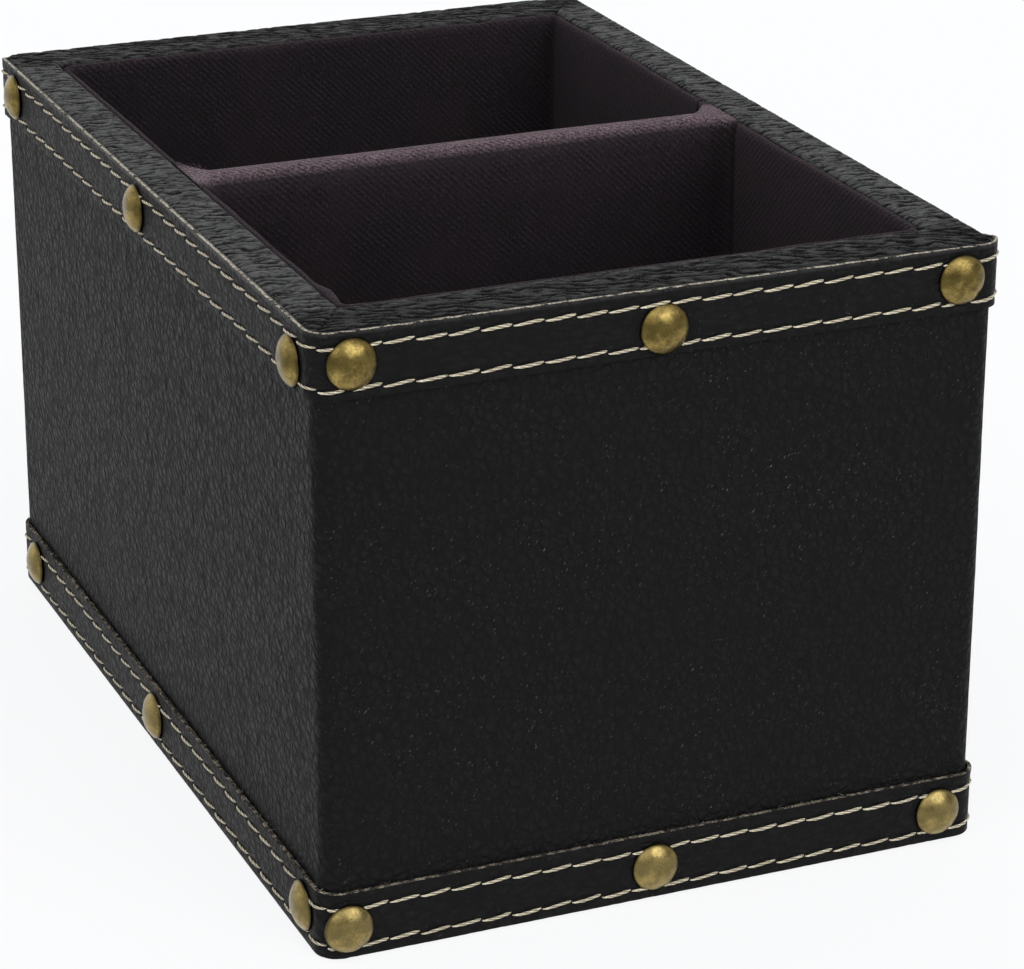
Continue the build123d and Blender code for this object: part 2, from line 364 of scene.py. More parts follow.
# embossed faux leather: soft ridges between winding creases, fine wrinkles and pores
def leatherFinish(name, look):
    finish = newFinish(name, look["colour"], look["roughness"], Specular_IOR_Level=look["gloss"])
    grain = look["grain"]
    coarse = {"Vector": finish.space([s * 1.6 for s in grain]), "Scale": 1.0, "Detail": 1.0}
    bent = finish.add("TexNoise", coarse).outputs["Color"]
    pebbles = {"Vector": finish.moved(bent, (0.9, 0.9, 0.9), finish.space(grain)), "Scale": 1.0}
    cells = finish.add("TexVoronoi", pebbles)
    borders = finish.add("TexVoronoi", pebbles, feature="DISTANCE_TO_EDGE")
    ridges = finish.remap(cells.outputs["Distance"], 0.05, 0.85, 0.50, 0.0)
    creases = finish.remap(borders.outputs["Distance"], 0.0, look["creaseWidth"])
    fine = finish.noise([s * 0.5 for s in grain], 2.0, 0.5, 0.3)
    wrinkles = finish.offLines(fine, 0.07)
    furrows = finish.remap(finish.noise((1.6, 1.6, 2.3), 1.5, 0.5, 1.0), 0.36, 0.62)
    rimGrain = finish.noise((3.0, 1.35, 3.0), 2.0, 0.5, 0.7, (0, 0, -9))
    rimWrinkles = finish.offLines(rimGrain, 0.055)
    pores = finish.noise((0.30, 0.26, 0.30), 3.0)
    patches = finish.noise((11.0, 9.0, 13.0), 4.0)
    onRim = finish.aboveHeight(117.0, 117.7)
    relief = finish.layered(ridges, (creases, look["creaseDepth"]), (furrows, look["furrows"]),
                            (wrinkles, 0.12), (pores, look["pores"]),
                            (rimWrinkles, finish.times(onRim, 1.1)))
    depth = finish.remap(patches, 0.35, 0.65, look["grainLow"], look["grainHigh"])
    depth = finish.times(depth, finish.timesPlus(onRim, -0.35, 1.0))
    finish.bump(finish.times(relief, depth), look["bump"], 0.5)
    # colour: painted shade in the creases, greyer where it is rubbed; the rim is painted lighter, partly
    # for wear and partly as a painted sheen
    tone = finish.times(creases, finish.remap(ridges, 0.10, 0.34, 0.5, 1.0))
    rubbed = finish.remap(patches, 0.42, 0.72, 0.0, 0.8)
    colour = finish.blend(tone, look["crease"], finish.blend(rubbed, look["colour"], look["worn"]))
    folds = finish.pressed()
    # the front and back of the rim are painted darker than the sides: painted shade, and less wear
    along = finish.split(finish.place())["Y"]
    crestSheenAndWear = finish.remap(finish.positive(along), 82.5 * mm, 86.0 * mm, 1.0, 0.35)
    crestSheenAndWear = finish.times(rimWrinkles, crestSheenAndWear)
    # painted light on the rim: the light between the wrinkle lines is a painted highlight with some wear,
    # the dark in the folds is painted shade
    rimColour = finish.tinted(look["rimMiddle"], (crestSheenAndWear, look["rimSheenAndWear"]),
                              (finish.remap(folds, 0.14, 0.72), look["rimFoldShade"]))
    # painted shade: darker where the geometry lies deep in a crease, on the walls and in the rim's folds
    colour = finish.tinted(colour, (finish.times(folds, 0.7), look["crease"]), (onRim, rimColour))
    # short scratches and specks of dust, in loose groups
    groups = finish.remap(finish.noise((21, 21, 19), 2.0), 0.30, 0.62, 0.15, 1.0)
    strokes = finish.noise((0.17, 0.5, 0.85), 1.0, turn=(0, 34, 0))
    specks = finish.noise((0.34, 0.34, 0.34), 1.0)
    marks = finish.larger(finish.remap(strokes, 0.722, 0.79), finish.remap(specks, 0.775, 0.825))
    marks = finish.times(marks, finish.times(groups, look["dust"]))
    finish.toShader("Base Color", finish.blend(marks, colour, (0.19, 0.19, 0.195)))
    shine = finish.remap(relief, 0.3, 1.15, look["roughness"] + 0.09, look["roughness"] - 0.07)
    finish.toShader("Roughness", finish.timesPlus(folds, 0.25, shine))
    return finish


coverLook = {
    "colour": (0.0083, 0.0083, 0.0087),
    # painted shade: the colour laid into creases and hollows
    "crease": (0.0062, 0.0062, 0.0065),
    "worn": (0.0100, 0.0099, 0.0102),
    # the rim's dark colour is painted shade in its folds; its middle and light colours paint it lighter,
    # partly for wear and partly as a painted sheen on the crests
    "rimFoldShade": (0.0030, 0.0030, 0.0031),
    "rimMiddle": (0.0124, 0.0126, 0.0128),
    "rimSheenAndWear": (0.064, 0.065, 0.065),
    "roughness": 0.50,
    "gloss": 0.06,
    "grain": (1.7, 2.3, 1.75),
    "creaseWidth": 0.28,
    "creaseDepth": 0.40,
    "furrows": 0.30,
    "grainLow": 0.65,
    "grainHigh": 1.05,
    "pores": 0.12,
    "bump": 0.76,
    "dust": 0.9,
}
bandLook = dict(
    coverLook, roughness=0.47, grain=(3.2, 2.3, 1.3), grainLow=0.25, grainHigh=0.65, bump=0.8,
    pores=0.16, dust=0.4,
)


# the cut edge of the leather: pale fibres on a dark, soiled ground
def rawEdgeFinish(name, paleFrom, paleTo, pale):
    finish = newFinish(name, (0.30, 0.27, 0.21), 0.9, Specular_IOR_Level=0.2)
    fibres = finish.noise((0.42, 0.42, 0.22), 4.0)
    along = finish.noise((1.5, 1.5, 0.6), 3.0, 0.6)
    soil = finish.remap(along, paleFrom, paleTo)
    pale = finish.blend(finish.remap(fibres, 0.36, 0.62), (0.15, 0.13, 0.10), pale)
    dark = finish.blend(finish.remap(fibres, 0.50, 0.72), (0.013, 0.012, 0.011), (0.20, 0.18, 0.145))
    finish.toShader("Base Color", finish.blend(soil, pale, dark))
    finish.bump(fibres, 0.8, 0.2)
    return finish


# waxed cotton thread: plies and fine fibres, with painted shade in the grooves between the plies
def threadFinish():
    finish = newFinish("creamThread", (0.50, 0.43, 0.31), 0.62, Specular_IOR_Level=0.35,
                       Sheen_Weight=0.10, Sheen_Roughness=0.4)
    hairs = finish.noise((0.24, 0.24, 0.15), 3.0)
    wide = finish.noise((1.9,) * 3, 2.0)
    colour = finish.tinted(
        (0.47, 0.41, 0.29),
        (finish.remap(hairs, 0.36, 0.62), (0.90, 0.84, 0.67)),
        (finish.remap(wide, 0.45, 0.72, 0.0, 0.55), (0.40, 0.34, 0.24)),
        # painted shade between the plies
        (finish.remap(finish.pressed(), 0.15, 0.85), (0.20, 0.165, 0.108)),
    )
    finish.toShader("Base Color", colour)
    finish.bump(hairs, 0.8, 0.14)
    return finish


# antique brass: ochre and olive patina, rubbed lighter in places, small marks in the middle
def brassFinish():
    finish = newFinish("antiqueBrass", (0.34, 0.25, 0.08), 0.28, Metallic=1.0)
    wide = finish.noise((2.4,) * 3, 5.0, 0.62)
    fine = finish.noise((0.5,) * 3, 4.0, 0.7)
    scratches = finish.noise((0.10, 0.6, 1.7), 2.0, turn=(12, 52, 0))
    grit = finish.noise((0.22,) * 3, 2.0)
    # worn marks near the middle of each head
    fromMiddle = finish.add("VectorMath", {0: finish.flatPlace()}, operation="LENGTH").outputs["Value"]
    marks = finish.remap(finish.noise((0.42, 0.42, 0.55), 2.0), 0.54, 0.64)
    marks = finish.times(marks, finish.remap(fromMiddle, 0.7, 2.1, 0.75, 0.0))
    # the head is painted darker in a band across the upper middle: a painted reflection of the dim room in
    # front, laid on as patina
    height = finish.split(finish.flatPlace())["Y"]
    bent = finish.timesPlus(finish.less(wide, 0.5), 3.2, height)
    offDarkReflectionBand = finish.positive(finish.less(bent, 0.7))
    colour = finish.tinted(
        (0.40, 0.295, 0.095),
        (finish.remap(fine, 0.35, 0.68), (0.255, 0.182, 0.060)),
        (finish.remap(wide, 0.36, 0.66), (0.115, 0.085, 0.026)),
        (finish.remap(scratches, 0.64, 0.74, 0.0, 0.4), (0.55, 0.45, 0.19)),
        (finish.remap(grit, 0.60, 0.72, 0.0, 0.75), (0.055, 0.04, 0.016)),
        (marks, (0.08, 0.056, 0.022)),
        # painted reflection: the dark band across the upper middle
        (finish.remap(offDarkReflectionBand, 0.35, 2.1, 0.72, 0.0), (0.085, 0.066, 0.018)),
        # the nails of the bottom band are paler: painted reflection of the bright floor close below them
        (finish.remap(finish.aboveHeight(14.0, 40.0), 0.0, 1.0, 0.20, 0.0), (0.42, 0.345, 0.165)),
        # the edge of each head is darkened where it meets the leather: painted shade, and a painted
        # reflection of the black leather beside it
        (finish.remap(fromMiddle, 4.25, 4.6, 0.0, 0.85), (0.045, 0.033, 0.014)),
    )
    finish.toShader("Base Color", colour)
    finish.toShader("Roughness", finish.remap(fine, 0.3, 0.7, 0.20, 0.36))
    finish.bump(finish.layered(fine, (scratches, 0.5), (marks, -0.8)), 0.4, 0.07)
    return finish


# brushed twill: rows of small pits on a slant, under a nap that is lighter where it is worn, with painted
# light on its top
def twillFinish(name, look):
    finish = newFinish(name, look["colour"], 0.94, Specular_IOR_Level=0.08, Sheen_Weight=look["sheen"],
                       Sheen_Roughness=0.5, Sheen_Tint=(*look["nap"], 1))
    cloth = finish.flatPlace()
    wobble = finish.add("TexNoise", {"Vector": cloth, "Scale": 0.7, "Detail": 3.0}).outputs["Color"]
    parts = finish.split(finish.moved(wobble, (0.55, 0.45, 0.0), cloth))
    across = finish.times(parts["X"], 2 * math.pi / look["pitch"])
    slant = finish.timesPlus(parts["Y"], look["slant"], across)
    up = finish.times(parts["Y"], 2 * math.pi / look["rowPitch"])
    pits = finish.timesPlus(finish.sine(up), 0.25, finish.sine(slant))
    fuzz = finish.noise((0.36, 0.36, 0.48), 4.0, 0.7)
    strands = finish.noise((0.16, 0.16, 0.9), 2.0, turn=(18, 24, 0))
    cloud = finish.noise((15, 15, 20), 3.0)
    worn = finish.noise((5, 5, 5), 3.0)
    weave = finish.times(pits, finish.remap(worn, 0.3, 0.7, 0.55, 0.10))
    height = finish.layered(weave, (fuzz, 3.4), (strands, 1.8))
    finish.bump(height, 0.7, 0.14)
    tone = finish.remap(height, 1.5, 3.7)
    tips = finish.remap(height, 3.0, 4.3, 0.0, 0.6)
    clouds = finish.remap(cloud, 0.42, 0.68, 0.0, 0.5)
    colour = finish.tinted(look["deep"], (tone, look["colour"]), (clouds, look["brushed"]),
                           (tips, look["tips"]))
    # the crown of the divider is painted pale, the top edges along the walls less so: painted light from
    # above, with some wear
    depthAcross = finish.split(finish.place())["Y"]
    offCrown = finish.positive(finish.plus(depthAcross, 0.9 * mm))
    onDivider = finish.remap(offCrown, 5.2 * mm, 6.8 * mm, 1.0, 0.13)
    # painted light: a faint fade lighter towards the top of the cloth
    upper = finish.times(finish.aboveHeight(104.0, 117.0), 0.07)
    litAndWornTop = finish.larger(finish.aboveHeight(115.6, 117.4), upper)
    litAndWornTop = finish.times(litAndWornTop, finish.remap(worn, 0.3, 0.6, 0.7, 1.0))
    litAndWornTop = finish.times(litAndWornTop, onDivider)
    lint = finish.noise((0.5, 0.34, 0.5), 3.0, 0.7)
    lint = finish.timesPlus(lint, 4.0, finish.times(height, 0.5))
    pale = finish.blend(finish.remap(lint, 2.8, 4.1), look["crownDark"], look["crownLitPale"])
    finish.toShader("Base Color", finish.blend(litAndWornTop, colour, pale))
    return finish


liningLook = {
    "colour": (0.0218, 0.0170, 0.0205),
    "deep": (0.0042, 0.0034, 0.0042),
    "brushed": (0.0195, 0.0138, 0.0162),
    "tips": (0.085, 0.068, 0.080),
    "crownDark": (0.026, 0.018, 0.022),
    # the crown colours are painted light from above, with some wear
    "crownLitPale": (0.30, 0.222, 0.250),
    "nap": (0.55, 0.45, 0.52),
    "sheen": 0.10,
    "pitch": 1.5,
    "rowPitch": 0.95,
    "slant": 4.3,
}


# board, card and felt share one recipe: two tones, broken by noise, with a little bump
def fibreFinish(name, light, dark, size, bump):
    finish = newFinish(name, light, 0.88, Specular_IOR_Level=0.2)
    fibres = finish.noise(size, 6.0, 0.7)
    flecks = finish.add("TexVoronoi", {"Vector": finish.space([s * 1.7 for s in size]), "Scale": 1.0})
    spots = finish.remap(flecks.outputs["Distance"], 0.0, 0.25, 0.5, 0.0)
    colour = finish.tinted(dark, (finish.remap(fibres, 0.3, 0.7), light), (spots, dark))
    finish.toShader("Base Color", colour)
    finish.bump(fibres, 0.6, bump)
    return finish


coverLeather = leatherFinish("blackPebbleLeather", coverLook)
bandLeather = leatherFinish("blackBandLeather", bandLook)
rawEdge = rawEdgeFinish("rawTopEdge", 0.50, 0.62, (0.58, 0.53, 0.43))
soiledEdge = rawEdgeFinish("rawBottomEdge", 0.38, 0.54, (0.40, 0.345, 0.27))
creamThread = threadFinish()
antiqueBrass = brassFinish()
plumTwill = twillFinish("plumTwill", liningLook)
fibreBoard = fibreFinish("fibreBoard", (0.30, 0.20, 0.115), (0.17, 0.105, 0.055), (0.8, 0.8, 0.5), 0.25)
greyCard = fibreFinish("greyCard", (0.34, 0.325, 0.295), (0.22, 0.21, 0.19), (0.5, 0.5, 0.5), 0.12)
blackFelt = fibreFinish("blackFelt", (0.022, 0.021, 0.022), (0.009, 0.009, 0.010), (0.7, 0.7, 0.7), 0.3)
print("finishes made")


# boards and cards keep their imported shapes
def dressBoards():
    for node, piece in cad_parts.items():
        if node.endswith("_board"):
            finish = fibreBoard
        elif node.endswith("_card"):
            finish = greyCard
        else:
            continue
        piece.data.materials.clear()
        piece.data.materials.append(finish.data)


dressBoards()
print("boards and cards dressed")


# the leather cover: one sheet round the walls, over the rim and under the base
cover = {
    "jointAt": -38 * mm,       # on the back, seen from behind
    "jointGap": 0.08 * mm,
    "columnStep": 0.52 * mm,
    "cornerSteps": 22,
    "shownFrom": 12 * mm,      # rows are close together between the bands, wide apart behind them
    "shownTo": 107 * mm,
    "openX": liningHigh.x,
    "openY": -liningLow.y,
    "turnIn": 15 * mm,
    "turnUnder": 12 * mm,
    "outerRound": 0.9 * mm,
    "innerRound": 1.1 * mm,
    "bottomRound": 0.8 * mm,
    "openCorner": 0.9 * mm,
    "rimRows": 27,
    "grainHeight": 0.05 * mm,
    "creaseDepth": 0.36 * mm,
    "foldPitch": 1.9 * mm,
    "foldDepth": 0.16 * mm,
}


def coverProfile():
    hx, hy, r = body["halfX"], body["halfY"], body["corner"]
    top, bottom, thick = body["top"], body["bottom"], body["leather"]
    rows = []      # half x, half y, z, corner radius, part

    def outside(inset, z, radius, part):
        rows.append((hx - inset, hy - inset, z, radius, part))

    def opening(outset, z, radius, part):
        rows.append((cover["openX"] + outset, cover["openY"] + outset, z, radius, part))

    for inset in (12 * mm, 9 * mm, 6 * mm, 3.4 * mm, 1.8 * mm, 0.8 * mm):
        outside(inset, bottom, max(r - inset, 0.6 * mm), "under")
    bend = cover["bottomRound"]
    for turn in np.radians((30, 60, 90)):
        inset = bend * (1 - math.sin(turn))
        outside(inset, bottom + bend * (1 - math.cos(turn)), r - inset, "under")
    low, high, bend = cover["shownFrom"], cover["shownTo"], cover["outerRound"]
    levels = (*np.linspace(bottom + cover["bottomRound"], low, 5)[1:-1], *np.linspace(low, high, 92),
              *np.linspace(high, top - bend, 9)[1:])
    for z in levels:
        outside(0, z, r, "wall")
    for turn in np.radians((22, 45, 68, 90)):
        inset = bend * (1 - math.cos(turn))
        outside(inset, top - bend * (1 - math.sin(turn)), r - inset, "rim")
    inner = cover["innerRound"]
    for t in np.linspace(0, 1, cover["rimRows"] + 1)[1:]:
        x = (hx - bend) * (1 - t) + (cover["openX"] + inner) * t
        y = (hy - bend) * (1 - t) + (cover["openY"] + inner) * t
        rows.append((x, y, top, (r - bend) * (1 - t) + 1.3 * mm * t, "rim"))
    corner = cover["openCorner"]
    for turn in np.radians((25, 50, 75, 90)):
        opening(inner * (1 - math.sin(turn)), top - inner * (1 - math.cos(turn)), corner, "rim")
    foot = top - thick - cover["turnIn"]
    for z in np.linspace(top - inner, foot, 6)[1:]:
        opening(0, z, corner, "inside")
    # back of the sheet, down the boards
    for z in (foot, top - thick - 5 * mm, top - thick):
        opening(thick, z, 2.0 * mm, "backing")
    for z in (top - thick, 60 * mm, bottom + thick):
        outside(thick, z, r - thick, "backing")
    outside(cover["turnUnder"], bottom + thick, 0.6 * mm, "backing")
    return rows


# soft hollows and swells and the embossed grain, all inwards; and how deep each place lies in the grain
def wallRelief(spots):
    height = cover["grainHeight"]
    swell = ripples(spots, 1, (45, 45, 38), 0.08, (12, 12, 14), 0.04)
    grain = ripple(spots, (1.7, 1.8, 2.2), 15) * height
    strong = np.clip(0.75 + ripple(spots, 20, 16), 0.35, 1.15)
    inward = (0.08 + swell.clip(-0.07, 0.07)) * mm + np.clip(0.6 * height - grain * strong, 0, None)
    underBand = np.abs(spots[..., 2] - body["top"]) < 13 * mm
    inward = np.where(underBand, 0.05 * mm + 0.4 * inward, inward)
    # this depth darkens the grain's hollows in the finish, as painted shade
    return inward, np.clip(-grain / height * 0.8 - 0.1, 0, 0.4)


# a low crown with creases across the sides, and mitre folds at the corners; the drop, and the depth
# in a crease
def rimRelief(spots):
    # the folds lie across the side rims and at a slant along the end rims
    mixSide = np.clip((cover["openY"] + 5 * mm - np.abs(spots[..., 1])) / (8 * mm), 0, 1)
    across = foldWaves(spots, spots[..., 1] + spots[..., 0] * 0.16, cover["foldPitch"], 8)
    along = foldWaves(spots * (1, 1.3, 1), spots[..., 1] + spots[..., 0] * 0.34, cover["foldPitch"], 12)
    crease = across * mixSide + 1.2 * along * (1 - mixSide)
    out = np.array((body["halfX"], body["halfY"]))
    into = np.array((cover["openX"], cover["openY"]))
    fromOpening = np.abs(spots[..., :2]) - into
    fromOutside = out - np.abs(spots[..., :2])
    level = np.minimum(fromOpening.max(axis=-1), fromOutside.min(axis=-1))
    level = np.clip(level / (1.6 * mm), 0, 1)
    drop = (0.09 + (1 - level) * 0.12 + ripple(spots, (6, 4, 10), 10) * 0.06) * mm
    drop += cover["creaseDepth"] * crease * (0.35 + 0.65 * level)
    # the mitre folds run from the outer corner to the opening's corner
    run = (out - into) / np.linalg.norm(out - into)
    offLine = fromOpening[..., 0] * run[1] - fromOpening[..., 1] * run[0] + ripple(spots, 6, 6) * 0.5 * mm
    onFold = (fromOpening[..., 0] > -1.0 * mm) & (fromOpening[..., 1] > -1.5 * mm)
    groove = np.where(onFold, bell(offLine, 0.24 * mm) * cover["foldDepth"], 0)
    pleat = np.where(onFold, bell(offLine - 1.1 * mm, 0.9 * mm) * 0.10 * mm, 0)
    drop = np.clip(drop + groove - pleat, 0, None)
    # the front right corner is pulled down inside the band
    pulled = bell(spots[..., 0] - body["halfX"], 5 * mm) * bell(spots[..., 1] + body["halfY"], 4 * mm)
    # the front and back rims get 0.22 more, which only darkens them in the finish: painted shade
    pressed = np.clip(crease + 0.22 * (1 - mixSide) + 2.5 * groove / mm, 0, 1)
    return drop + 0.9 * mm * pulled, pressed


def buildCover():
    rows = coverProfile()
    columns = ringColumns(cover["jointAt"], cover["jointGap"], cover["columnStep"], cover["cornerSteps"])
    points = np.array([stacked(*ringPlaces(columns, hx, hy, radius), z) for hx, hy, z, radius, _ in rows])
    parts = np.array([row[4] for row in rows])
    nx, ny = ringNormals(columns)
    wall = np.where(parts == "wall")[0]
    rim = np.where(parts == "rim")[0]
    pressed = np.zeros(points.shape[:2])
    inward, pressed[wall] = wallRelief(points[wall])
    points[wall, :, 0] -= inward * nx
    points[wall, :, 1] -= inward * ny
    drop, pressed[rim] = rimRelief(points[rim])
    points[rim, :, 2] -= drop
    picks = np.repeat(parts == "backing", len(columns) - 1).astype(int).tolist() + [1, 1]
    piece = meshPiece("outer_leather_cover", points, stripFaces(len(rows), len(columns)),
                      [coverLeather, rawEdge], picks, "outer_cover", pressed=pressed)


buildCover()
print("leather cover wrapped")


# nails: three on each face of each band
nails = {
    "headRadius": 4.65 * mm,
    "headHeight": 2.3 * mm,
    "rim": 0.35 * mm,
    "shell": 0.6 * mm,
    "shankRadius": 0.8 * mm,
    "shankLength": 7.5 * mm,
    "point": 2.0 * mm,
    "segments": 60,
}
# distance from the middle of the face and height, in mm; driven by hand, so none are quite in line
nailPlaces = {
    "top": {
        "front": ((-58.7, 112.1), (-1.2, 110.6), (57.0, 111.9)),
        "left": ((-83.2, 111.8), (-0.6, 111.9), (85.6, 110.4)),
        "right": ((-85.6, 111.6), (0.8, 111.2), (84.6, 111.9)),
        "back": ((-57.6, 111.7), (0.9, 111.3), (58.2, 111.5)),
    },
    "bottom": {
        "front": ((-60.8, 6.3), (-1.2, 6.6), (57.2, 6.5)),
        "left": ((-83.7, 7.0), (-0.5, 6.7), (85.9, 7.1)),
        "right": ((-85.2, 6.6), (-0.7, 6.9), (84.9, 6.4)),
        "back": ((-58.0, 6.8), (-0.6, 6.5), (57.5, 6.7)),
    },
}


def nailSpots(face, band):
    return [(along * mm, z * mm) for along, z in nailPlaces[band][face]]


# radius and height up the outside of a head; flatness blends a cap with a flatter, steeper dome
def nailProfile(flatness):
    radius, rim, rise = nails["headRadius"], nails["rim"], nails["headHeight"] - nails["rim"]
    sphere = (radius ** 2 + rise ** 2) / (2 * rise)
    profile = [(radius - 0.35 * mm, -0.02 * mm), (radius - 0.08 * mm, 0.0), (radius, 0.10 * mm),
               (radius, rim * 0.8)]
    for t in np.linspace(0, 1, 18):
        r = radius * (1 - t ** 1.25)
        cap = math.sqrt(max(sphere ** 2 - r ** 2, 0)) - (sphere - rise)
        dome = rise * (1 - (r / radius) ** 2.6) ** 0.55
        height = rim + cap * (1 - flatness) + dome * flatness
        profile.append((max(r, 0.02 * mm), height - 0.10 * mm * bell(r, 1.7 * mm)))
    return profile


def insideProfile():
    inside = nails["headRadius"] - nails["shell"]
    rise = nails["headHeight"] - nails["shell"]
    sphere = (inside ** 2 + rise ** 2) / (2 * rise)
    profile = []
    for t in np.linspace(0, 1, 7):
        r = nails["shankRadius"] * (1 - t) + inside * t
        profile.append((r, rise - sphere + math.sqrt(sphere ** 2 - r ** 2)))
    tip = -(nails["shankLength"] + bandThick)
    return [(0.03 * mm, tip), (nails["shankRadius"] * 0.55, tip + nails["point"] * 0.5),
            (nails["shankRadius"], tip + nails["point"]), *profile]


def buildNails(face, band):
    segments = nails["segments"]
    angles = np.linspace(0, 2 * math.pi, segments, endpoint=False)
    points, faces, flatPlaces = [], [], []
    for number, (along, z) in enumerate(nailSpots(face, band)):
        seed = faceTurns[face] * 0.13 + number * 3.1 + (17 if band == "top" else 5)
        chance = random.Random(int(seed * 100))
        profile = insideProfile() + nailProfile(chance.uniform(0.05, 0.35))
        tilt = (chance.uniform(-0.04, 0.04), chance.uniform(-0.04, 0.04))
        squeeze = 1 + chance.uniform(-0.015, 0.015)
        r, h = np.array(profile).T[..., None]
        u = r * np.cos(angles) * squeeze
        w = r * np.sin(angles) / squeeze
        h = np.broadcast_to(h, u.shape).copy()
        spots = stacked(u, w, h)
        onHead = (h > nails["rim"] * 0.7) & (np.arange(len(profile))[:, None] > 9)
        dent = ripples(spots, seed, 2.3, 0.085, 0.9, 0.03, step=2)
        edge = ripple(spots, 1.6, seed + 4) * 0.04
        h += np.where(onHead, dent * mm - 0.04 * mm, 0)
        fade = np.clip(r / nails["headRadius"], 0, 1) ** 6
        u = u * (1 - np.abs(edge) * 0.3 * fade)
        h += (u * tilt[0] + w * tilt[1]) * 0.5 - 0.06 * mm
        h = np.minimum(h, nails["headHeight"] - 0.01 * mm)
        start = len(points)
        x = along + u
        y = -(halfDistance(face) + bandThick) - h
        x, y = turned(x, y, faceTurns[face])
        points.extend(stacked(x, y, z + w).reshape(-1, 3).tolist())
        flatPlaces.extend((stacked(u, w) / mm).reshape(-1, 2).tolist())
        faces += gridFaces(len(profile), segments, start, wrapColumns=True)
        faces.append(tuple(range(start, start + segments))[::-1])
        last = start + (len(profile) - 1) * segments
        faces.append(tuple(range(last, last + segments)))
    meshPiece(f"{face}_{band}_nail_heads", points, faces, [antiqueBrass], None,
              f"{band}_{face}_nails", flatPlaces)


for band in ("top", "bottom"):
    for face in faceTurns:
        buildNails(face, band)
print("nails driven")


# stitching: four rows of twisted thread
stitching = {
    "perEnd": 22,
    "perSide": 29,
    "gap": 0.34 * mm,
    "radius": 0.275 * mm,
    "slant": math.radians(4.6),
    "topRows": (115.1 * mm, 107.6 * mm),
    "bottomRows": (10.1 * mm, 2.6 * mm),
    "underHead": 0.7 * mm,      # how far a thread runs in under a nail head
    "rings": 22,
    "around": 12,
    "plies": 3,
    "twist": 1.6 * mm,          # length of one full turn of the plies
}


def stitchCount(face):
    return stitching["perEnd"] if face in ("front", "back") else stitching["perSide"]


def runHalf(face):
    return flatHalf(face) + (body["corner"] + bandThick) * math.pi / 4


def stitchRuns(face, rowZ, band):
    reach = runHalf(face)
    pitch = 2 * reach / stitchCount(face)
    runs = []
    for index in range(stitchCount(face)):
        start = -reach + index * pitch + stitching["gap"] / 2
        pieces = [(start, start + pitch - stitching["gap"])]
        for nailX, nailZ in nailSpots(face, band):
            drop = abs(rowZ - nailZ)
            head = nails["headRadius"] - stitching["underHead"]
            if drop >= head:
                continue
            half = math.sqrt(head ** 2 - drop ** 2)
            pieces = [(a, min(b, nailX - half)) for a, b in pieces] + [
                (max(a, nailX + half), b) for a, b in pieces]
            pieces = [(a, b) for a, b in pieces if b - a > 0.9 * mm]
        runs += [(a, b, index) for a, b in sorted(pieces)]
    return runs


def buildStitchRow(band, rowName, rowZ):
    chance = random.Random(int(rowZ / mm * 10))
    rings, around = stitching["rings"], stitching["around"]
    t = np.linspace(0, 1, rings)
    theta = np.linspace(0, 2 * math.pi, around, endpoint=False)
    points, faces, pressed = [], [], []
    for face in faceTurns:
        for first, last, index in stitchRuns(face, rowZ, band):
            length = last - first
            tilt = stitching["slant"] * chance.uniform(0.7, 1.35)
            sag = chance.uniform(-0.10, 0.14) * mm
            bow = np.sin(math.pi * t)
            s = first + t * length
            # each thread leaves its hole flat, crosses over and dips in again
            swing = t * t * (3 - 2 * t) * 0.7 + t * 0.3
            z = rowZ + (swing - 0.5) * length * math.tan(tilt) + sag * bow
            z += chance.uniform(-0.12, 0.12) * mm
            sunk, thin = (-0.27 * mm, 0.84) if face == "left" else (-0.23 * mm, 1)
            lift = sunk + 0.38 * mm * bow ** 0.42 * chance.uniform(0.9, 1.1)
            fat = stitching["radius"] * chance.uniform(0.88, 1.08) * thin
            girth = fat * (0.38 + 0.62 * np.clip(np.minimum(t / 0.34, (1 - t) / 0.15), 0, 1) ** 0.7)
            centre = bandPlace(face, s, lift, z)
            ahead = unit(np.gradient(centre, axis=0))
            across = unit(np.cross(ahead, (0, 0, 1)))
            raised = np.cross(across, ahead)
            phase = 2 * math.pi * (t * length) / stitching["twist"] + index * 1.7
            wave = np.cos(stitching["plies"] * theta[None, :] + phase[:, None])
            ring = girth[:, None] * (1 + 0.12 * wave)
            spots = (centre[:, None, :]
                     + across[:, None, :] * (ring * np.cos(theta))[..., None]
                     + raised[:, None, :] * (ring * np.sin(theta))[..., None])
            start = len(points)
            points.extend(spots.reshape(-1, 3).tolist())
            # pressed: painted shade in the grooves between the plies, left out near the thread's start,
            # which paints that end brighter
            smooth = bell(t - 0.08, 0.12)[:, None]
            pressed += ((0.5 - 0.5 * wave) * (1 - smooth)).ravel().tolist() + [0.1, 0.5]
            points.append((centre[0] - ahead[0] * fat * 0.35).tolist())
            points.append((centre[-1] + ahead[-1] * fat * 0.35).tolist())
            faces += gridFaces(rings, around, start, wrapColumns=True, flip=True)
            tail, nose = start + rings * around, start + rings * around + 1
            low = start + (rings - 1) * around
            for k in range(around):
                n = (k + 1) % around
                faces.append((tail, start + k, start + n))
                faces.append((nose, low + n, low + k))
    meshPiece(f"{rowName}_stitches_{band}_band", points, faces, [creamThread], None,
              f"{band}_band_{rowName}_stitching", pressed=pressed)


for band in ("top", "bottom"):
    for rowName, rowZ in zip(("upper", "lower"), stitching[band + "Rows"]):
        buildStitchRow(band, rowName, rowZ)
print("stitching sewn")


# trim bands: raw-edged strips, pressed in along the stitching and round the nails
bandShape = {
    "jointAt": 30 * mm,         # on the back, seen from behind
    "jointGap": 0.12 * mm,
    "columnStep": 0.45 * mm,
    "cornerSteps": 16,
    "rowStep": 0.42 * mm,
    "edgeRound": 0.16 * mm,
    "grooveDepth": 0.17 * mm,
    "grooveWidth": 0.62 * mm,
    "holeDepth": 0.30 * mm,
    "holeWidth": 0.42 * mm,
    "fibresAbove": {"top": 210, "bottom": 2000},
    "fibresBelow": 60,
}


